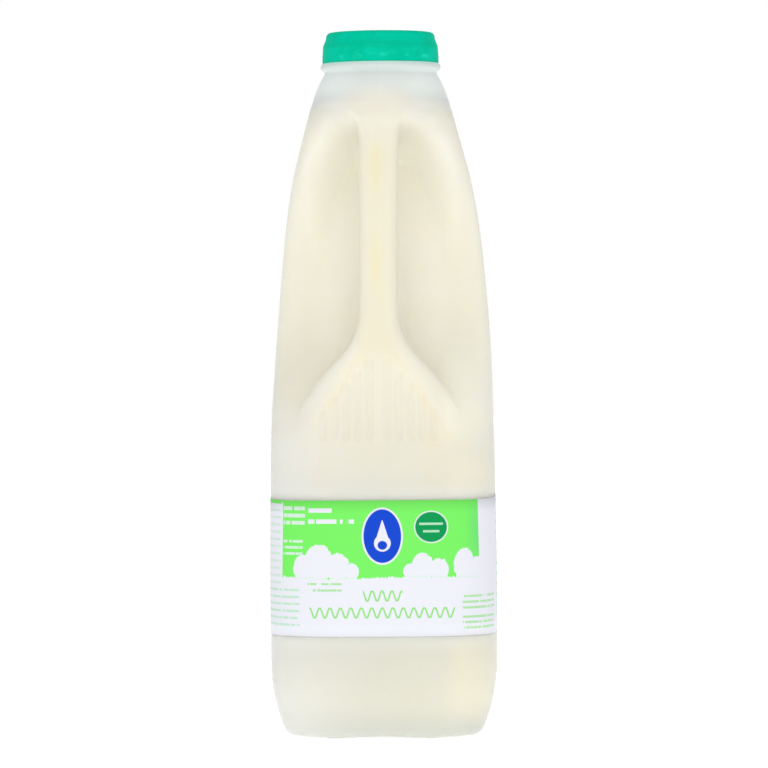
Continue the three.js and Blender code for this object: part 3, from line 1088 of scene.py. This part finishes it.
@dataclass(frozen=True)
class LabelPrint:
    """Printed paper label: a green field with white bushes over a white foot, and plain marks for print.

    A block of rows holds its left, right, lowest and highest row, its count and the thickness of a bar. All
    places are in millimetres from the middle of the front and from the lower edge.
    """

    length: float
    height: float
    paper: Colour = tone(231, 232, 240)
    green: Colour = tone(120, 238, 100)
    deep_green: Colour = tone(0, 150, 80)
    blue: Colour = tone(12, 70, 205)
    leaf: Colour = tone(150, 221, 132)
    mist: Colour = tone(176, 224, 188)
    fibre: Colour = (0.8, 0.8, 0.86, 1.0)
    dim_green: Colour = tone(105, 214, 130)
    field: tuple[float, float] = (-36.4, 36.8)
    hill_middle: float = 20.6
    bushes: tuple[tuple[float, float, float, float], ...] = (
        (-27.4, 24.0, 3.6, 4.6), (-21.6, 25.6, 5.2, 6.6), (-14.8, 24.2, 4.4, 4.9), (-9.8, 22.6, 2.6, 3.0),
        (10.8, 22.6, 2.4, 2.9), (15.2, 24.2, 3.9, 5.0), (21.0, 23.4, 3.3, 3.9), (30.4, 24.6, 4.2, 6.0),
        (35.6, 23.4, 3.2, 4.2),
    )

    def field_and_bushes(self, page: PrintSheet) -> None:
        """Prints the green field with its rough lower edge and the white bushes that stand on it."""
        sheet, s, t = page.sheet, page.s, page.t
        blades = sheet.noise(1.0, 2.0, 0.7, sheet.vector(s * 1.5, t * 0.12))
        hills = (s * 0.11).sine() * 0.35 + self.hill_middle + (blades - 0.5) * 2.6
        field = s.inside(*self.field, page.edge) * (t - hills).rises(-0.25, 0.25)
        page.lay(field, self.green)
        page.lay(field * s.rises(30, 36.5) * t.inside(28, 44, 14) * 0.55, self.dim_green)
        leaves = sheet.noise(1.0, 2.0, 0.5, sheet.vector(s * 0.9, t * 0.9))
        rough = PrintSheet(sheet, s + (leaves - 0.5) * 1.1, t + (leaves - 0.5) * 1.5, None)
        crowns = rough.oval(*self.bushes[0])
        for place in self.bushes[1:]:
            crowns = crowns.greatest(rough.oval(*place))
        page.lay(crowns * field, self.paper)

    def badges(self, page: PrintSheet) -> None:
        """Prints the oval badge with its drop and the round one with its two bars."""
        taper = (page.t - 30.5) / 10.5
        sides = abs(page.s - 1.1) - (1 - taper) * 3.4
        tip = (1 - sides.rises(-0.12, 0.12)) * page.t.inside(32.6, 40.6, 0.2)
        for mask, colour in (
            (page.oval(1.1, 35.1, 7.3, 10.0), self.paper),
            (page.oval(1.1, 35.1, 6.65, 9.35), self.blue),
            (tip.greatest(page.oval(1.1, 32.6, 2.95, 2.9)), self.paper),
            (page.oval(1.1, 31.9, 1.7, 1.55), self.blue),
            (page.oval(18.4, 38.2, 6.05, 5.65), self.paper),
            (page.oval(18.4, 38.2, 5.65, 5.25), self.deep_green),
            (page.box(14.2, 22.6, 38.9, 39.7), self.mist),
            (page.box(15.5, 21.3, 36.3, 37.1), self.mist),
        ):
            page.lay(mask, colour)

    def small_print(self, page: PrintSheet) -> None:
        """Prints the front's rows of bars, the pale rows at its left and the waving lines of the title."""
        sizes = page.rows(-25.4, -8.9, 40.25, 44.1, 2, 1.5) * (1 - page.box(-16.8, -8.0, 42.2, 46.5))
        page.lay(sizes, self.paper)
        for wave in ((-5.8, 8.0, 14.2, 1.6, 3.45, 0.5), (-24.8, 26.3, 8.3, 1.6, 3.65, 0.5)):
            page.lay(page.wave(*wave), self.leaf)
        blocks = (
            (0.8, self.paper, (-36.0, -26.6, 39.8, 44.8, 3, 1.3)),
            (0.75, self.paper, (-36.0, -27.4, 29.0, 33.3, 3, 0.9)),
            (0.8, self.leaf, (-25.4, -13.2, 16.2, 18.4, 2, 0.75)),
            (0.75, self.leaf, (29.2, 50.0, 9.8, 13.8, 3, 0.8)),
            (0.75, self.leaf, (29.2, 50.0, 2.8, 6.6, 3, 0.8)),
            (0.75, self.mist, (-62.0, -28.5, 4.0, 16.2, 6, 0.8)),
            (0.5, self.mist, (-62.0, -37.4, 18.6, 44.0, 11, 0.8)),
        )
        for strength, colour, block in blocks:
            page.lay(page.rows(*block) * strength, colour)

    def back(self, page: PrintSheet) -> None:
        """Prints the sides and the back: a green stripe, a ruled table, green panels and blocks of bars."""
        page.lay(page.box(-146, -36.4, 46.3, 47.6), self.green)
        page.lay(page.box(-37.2, -36.4, 20.6, 47.0) * 0.6, self.paper)
        page.lay(page.box(60, 96, 6, 42) - page.box(60.5, 95.5, 6.5, 41.5), self.leaf)
        for panel in ((104, 140, 30, 42), (-96, -70, 6, 42)):
            page.lay(page.box(*panel), self.green)
        blocks = (
            (self.leaf, (62.5, 80.0, 9.0, 38.5, 9, 1.0)),
            (self.leaf, (84.0, 93.5, 9.0, 38.5, 9, 1.0)),
            (self.paper, (107, 137, 33, 39, 3, 0.9)),
            (self.leaf, (104, 140, 7, 26, 8, 0.9)),
            (self.leaf, (-138, -102, 7, 42, 12, 0.9)),
            (self.paper, (-93, -73, 9.5, 38.5, 8, 0.9)),
        )
        for colour, block in blocks:
            page.lay(page.rows(*block), colour)

    def material(self) -> bpy.types.Material:
        """Material of the label."""
        sheet = NodeSheet("label_print")
        strip = sheet.node("ShaderNodeUVMap", {"uv_map": LABEL_MAP})
        split = sheet.node("ShaderNodeSeparateXYZ", inputs={0: strip.outputs[0]})
        s = (Value(sheet, split.outputs[0]) - 0.5) * self.length
        t = Value(sheet, split.outputs[1]) * self.height
        fibres = sheet.noise(0.0009, 3.0, 0.6)
        page = PrintSheet(sheet, s, t, sheet.layered(self.paper, (fibres.rises(0.3, 0.8) * 0.25, self.fibre)))
        self.field_and_bushes(page)
        self.badges(page)
        self.small_print(page)
        self.back(page)
        return sheet.finish({
            "Base Color": page.colour,
            "Roughness": 0.42 + fibres * 0.1,
            "Specular IOR Level": 0.1,
            "Normal": sheet.bump(fibres, 0.00005, 0.4),
        })


@dataclass
class Bottle:
    """The blow-moulded bottle with its handle: one shell, open at the lip of its neck."""

    form: BottleForm
    handle: Handle
    wall: float = 0.8
    milk_level: float = 225.0
    milk_inset: float = 0.35
    lip_margin: float = 0.05
    neck: tuple[Station, ...] = (
        (19.9, 234.7), (19.95, 235.0), (20.15, 235.3), (20.6, 235.6), (21.0, 235.9), (21.28, 236.3),
        (21.4, 236.7), (21.38, 237.1), (21.25, 237.5), (21.0, 237.85), (20.75, 238.15), (20.5, 238.32),
        (19.4, 238.36), (18.8, 238.36), (18.8, 243), (18.8, 247.6),
    )
    smoothed: tuple[tuple[float, float, float], ...] = ((136, 158, 13), (198, 224, 18))
    smoothed_in_front: float = -4.0
    smoothing_passes: int = 4
    smoothing_factor: float = 0.5

    def skin(self) -> bmesh.types.BMesh:
        """Closed outer skin of the bottle with its handle joined on."""
        rings = [*self.form.base_rings(), *self.form.wall_rings(), *self.form.neck_rings(self.neck)]
        lip = rings[-1]
        body = lofted([*rings, Ring(lip.outline, lip.height, 0.0)])
        for vert in body.verts:
            vert.co.z += self.form.seam_lift(vert.co.x / MM, vert.co.z / MM) * MM
        skin = united(body, self.handle.solid())
        for low, high, half_width in self.smoothed:
            near = [
                vert for vert in skin.verts
                if low < vert.co.z / MM < high and abs(vert.co.x) / MM < half_width
                and vert.co.y / MM < self.smoothed_in_front
            ]
            for _ in range(self.smoothing_passes):
                bmesh.ops.smooth_vert(
                    skin, verts=near, factor=self.smoothing_factor,
                    use_axis_x=True, use_axis_y=True, use_axis_z=True,
                )
        return skin

    def make_wall(self, skin: bmesh.types.BMesh) -> bpy.types.Object:
        """The wall itself.

        Args:
            skin: Closed outer skin.

        Returns:
            The dressed piece.
        """
        mesh = skin.copy()
        below_lip = self.neck[-1][1] - self.lip_margin
        top = [face for face in mesh.faces if all(vert.co.z / MM > below_lip for vert in face.verts)]
        bmesh.ops.delete(mesh, geom=top, context="FACES")
        piece = new_object("bottle_wall", mesh)
        thickness = piece.modifiers.new("wall", "SOLIDIFY")
        thickness.thickness, thickness.offset = self.wall * MM, -1.0
        piece.data.materials.append(FrostedPlastic().material())
        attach(piece, "root")
        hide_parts("bottle")
        return piece

    def make_milk(self, skin: bmesh.types.BMesh) -> bpy.types.Object:
        """The milk up to its level, reaching just into the wall.

        Args:
            skin: Closed outer skin.

        Returns:
            The dressed piece.
        """
        mesh = skin.copy()
        mesh.normal_update()
        for vert, move in [(vert, vert.normal * self.milk_inset * MM) for vert in mesh.verts]:
            vert.co -= move
        cut = bmesh.ops.bisect_plane(
            mesh, geom=[*mesh.verts, *mesh.edges, *mesh.faces], dist=MERGE_DISTANCE,
            plane_co=(0, 0, self.milk_level * MM), plane_no=(0, 0, 1), clear_outer=True,
        )
        rim = [edge for edge in cut["geom_cut"] if isinstance(edge, bmesh.types.BMEdge)]
        bmesh.ops.holes_fill(mesh, edges=rim, sides=0)
        piece = new_object("milk_fill", mesh)
        piece.data.materials.append(Milk().material())
        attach(piece, "root")
        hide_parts("milk")
        return piece

    def build(self) -> list[bpy.types.Object]:
        """Builds the wall and the milk."""
        skin = self.skin()
        pieces = [self.make_wall(skin), self.make_milk(skin)]
        skin.free()
        return pieces


@dataclass
class Cap:
    """Closed cap over the neck, with a rounded rim and a step half-way up its side, in millimetres."""

    outside: tuple[Station, ...] = (
        (20.55, 238.4), (20.68, 238.46), (20.73, 238.7), (20.7, 239.1), (20.66, 239.4), (20.7, 239.7),
        (20.68, 240.4), (20.6, 241.6), (20.5, 243.2), (20.42, 244.2), (20.3, 244.7), (20.08, 245.15),
        (19.92, 245.6), (19.8, 246.0), (19.56, 246.4), (19.44, 247.0), (19.34, 247.8), (19.1, 248.4),
        (18.7, 248.85), (18.2, 249.1), (17.6, 249.2), (9.0, 249.2),
    )
    bore: float = 19.15
    inner_top: float = 247.9
    steps: int = 128
    sharp_from: float = 50.0

    def build(self) -> bpy.types.Object:
        """Builds the cap."""
        stations = [
            (0.0, self.inner_top), (self.bore, self.inner_top), (self.bore, self.outside[0][1]),
            *self.outside, (0.0, self.outside[-1][1]),
        ]
        mesh = spun_grid([(radius * MM, height * MM) for radius, height in stations], self.steps)
        close_up(mesh)
        piece = new_object("closure_cap", mesh)
        piece.data.set_sharp_from_angle(angle=math.radians(self.sharp_from))
        piece.data.materials.append(MintPlastic().material())
        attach(piece, "root")
        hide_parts("cap")
        return piece


@dataclass
class Label:
    """Wrap-round label in the bottle's shallow seat."""

    form: BottleForm
    bottom: float = 36.4
    top: float = 84.0
    inner_gap: float = 0.04
    outer_gap: float = 0.37
    seat_margin: float = 3.0
    rows: int = 10

    def spread(self, mesh: bmesh.types.BMesh, outline: Sequence[Point]) -> float:
        """Spreads the strip's map over its grid, with its seam at the middle of the back.

        Args:
            mesh: The grid.
            outline: Outline of its rings.

        Returns:
            Length of the strip in millimetres.
        """
        columns, half_turn = len(outline), len(outline) // 2
        turned = [*outline[half_turn:], *outline[:half_turn + 1]]
        runs = [0.0, *accumulate(math.dist(*pair) for pair in zip(turned, turned[1:]))]
        layer = mesh.loops.layers.uv.new(LABEL_MAP)
        for face in mesh.faces:
            places = [(column_of(loop.vert, columns) + half_turn) % columns for loop in face.loops]
            wraps = max(places) - min(places) > half_turn
            for loop, place in zip(face.loops, places):
                run = runs[-1] if wraps and place == 0 else runs[place]
                loop[layer].uv = (run / runs[-1], loop.vert.co.z / self.rows)
        return runs[-1]

    def build(self) -> bpy.types.Object:
        """Builds the label."""
        seated = replace(self.form, seat=(self.bottom - self.seat_margin, self.top + self.seat_margin))
        heights = [between(self.bottom, self.top, row / self.rows) for row in range(self.rows + 1)]
        rings = [Ring(seated.outline(z, self.outer_gap), z) for z in heights]
        mesh = row_grid(rings)
        length = self.spread(mesh, rings[0].outline)
        settle(mesh, rings)
        bmesh.ops.recalc_face_normals(mesh, faces=mesh.faces)
        if sum(face.normal.dot(face.calc_center_median()) for face in mesh.faces) < 0:
            bmesh.ops.reverse_faces(mesh, faces=mesh.faces)
        piece = new_object("wrap_label", mesh)
        thickness = piece.modifiers.new("paper", "SOLIDIFY")
        thickness.thickness, thickness.offset = (self.outer_gap - self.inner_gap) * MM, -1.0
        piece.data.materials.append(LabelPrint(length, self.top - self.bottom).material())
        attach(piece, "root")
        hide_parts("label")
        return piece


@dataclass
class Studio:
    """Pale floor, soft light all round and the camera."""

    camera_distance: float = 1.8
    camera_side: float = 0.0004
    camera_height: float = 0.147
    camera_turn: float = 2.4
    camera_tilt: float = 0.73
    camera_roll: float = 0.42
    lens: float = 236.6
    sensor: float = 36.0
    clip: Station = (0.05, 20.0)
    aim_height: float = 0.14
    room_light: float = 0.62
    top_power: float = 7.0
    front_power: float = 4.0
    floor_size: float = 6.0
    floor_glow: float = 0.55

    def build_floor(self) -> bpy.types.Object:
        """Builds the floor."""
        mesh = bmesh.new()
        bmesh.ops.create_grid(mesh, x_segments=8, y_segments=8, size=self.floor_size)
        floor = new_object("pale_floor", mesh)
        sheet = NodeSheet("floor_paper")
        grain = sheet.noise(0.4, 2.0, 0.5)
        floor.data.materials.append(sheet.finish({
            "Base Color": (0.93, 0.93, 0.93, 1.0),
            "Roughness": 0.6 + grain * 0.1,
            "Emission Color": WHITE,
            "Emission Strength": self.floor_glow,
        }))
        return floor

    def build_light(self) -> None:
        """Builds the white surroundings, which light less than they show, and two softboxes."""
        world = bpy.data.worlds.new("white_room")
        bpy.context.scene.world = world
        world.use_nodes = True
        tree = world.node_tree
        choice = tree.nodes.new("ShaderNodeMixShader")
        path = tree.nodes.new("ShaderNodeLightPath")
        tree.links.new(path.outputs["Is Camera Ray"], choice.inputs[0])
        for socket, strength in ((1, self.room_light), (2, 1.0)):
            room = tree.nodes.new("ShaderNodeBackground")
            room.inputs["Color"].default_value = WHITE
            room.inputs["Strength"].default_value = strength
            tree.links.new(room.outputs[0], choice.inputs[socket])
        tree.links.new(choice.outputs[0], tree.nodes["World Output"].inputs["Surface"])
        self.build_softbox("top_softbox", (0.0, -0.7, 1.8), (1.6, 1.2), self.top_power)
        self.build_softbox("front_softbox", (0.1, -2.0, 0.35), (1.2, 0.7), self.front_power)

    def build_softbox(
        self, name: str, place: tuple[float, float, float], size: tuple[float, float], power: float
    ) -> None:
        """Builds a softbox that faces the bottle.

        Args:
            name: Name of the light.
            place: Where it stands.
            size: Its width and height.
            power: Its power in watts.
        """
        light = bpy.data.lights.new(name, "AREA")
        light.shape, light.size, light.size_y, light.energy = "RECTANGLE", *size, power
        lamp = bpy.data.objects.new(name, light)
        lamp.location = place
        lamp.rotation_mode = "QUATERNION"
        lamp.rotation_quaternion = (Vector((0, 0, self.aim_height)) - lamp.location).to_track_quat("-Z", "Y")
        bpy.context.scene.collection.objects.link(lamp)

    def build_camera(self) -> bpy.types.Object:
        """Builds the camera at the photograph's place."""
        turn, tilt, roll = (math.radians(a) for a in (self.camera_turn, self.camera_tilt, self.camera_roll))
        ahead = Vector((-math.sin(turn), math.cos(turn), 0)) * math.cos(tilt) - Vector((0, 0, math.sin(tilt)))
        level_right = ahead.cross(Vector((0, 0, 1))).normalized()
        level_up = level_right.cross(ahead)
        up = level_up * math.cos(roll) + level_right * math.sin(roll)
        right = ahead.cross(up)
        data = bpy.data.cameras.new("studio_camera")
        data.sensor_width, data.lens = self.sensor, self.lens
        data.clip_start, data.clip_end = self.clip
        camera = bpy.data.objects.new("studio_camera", data)
        place = Vector((math.sin(turn), -math.cos(turn), 0)) * self.camera_distance + right * self.camera_side
        place.z = self.camera_height
        pose = Matrix((right, up, -ahead)).transposed().to_4x4()
        pose.translation = place
        camera.matrix_world = pose
        bpy.context.scene.collection.objects.link(camera)
        bpy.context.scene.camera = camera
        return camera

    def build(self) -> None:
        """Builds the floor, the light and the camera."""
        self.build_camera()
        self.build_light()
        self.build_floor()
        bpy.context.scene.view_settings.view_transform = "Standard"


def report(piece: bpy.types.Object) -> None:
    """Logs the name and the number of faces of a piece."""
    log.info("%s: %d faces", piece.name, len(piece.data.polygons))


def main() -> None:
    """Builds the studio and every piece of the bottle."""
    logging.basicConfig(level=logging.INFO, format="%(name)s: %(message)s")
    Studio().build()
    form = BottleForm()
    for piece in Bottle(form, Handle(form)).build():
        report(piece)
    report(Cap().build())
    report(Label(form).build())


if __name__ == "__main__":
    main()
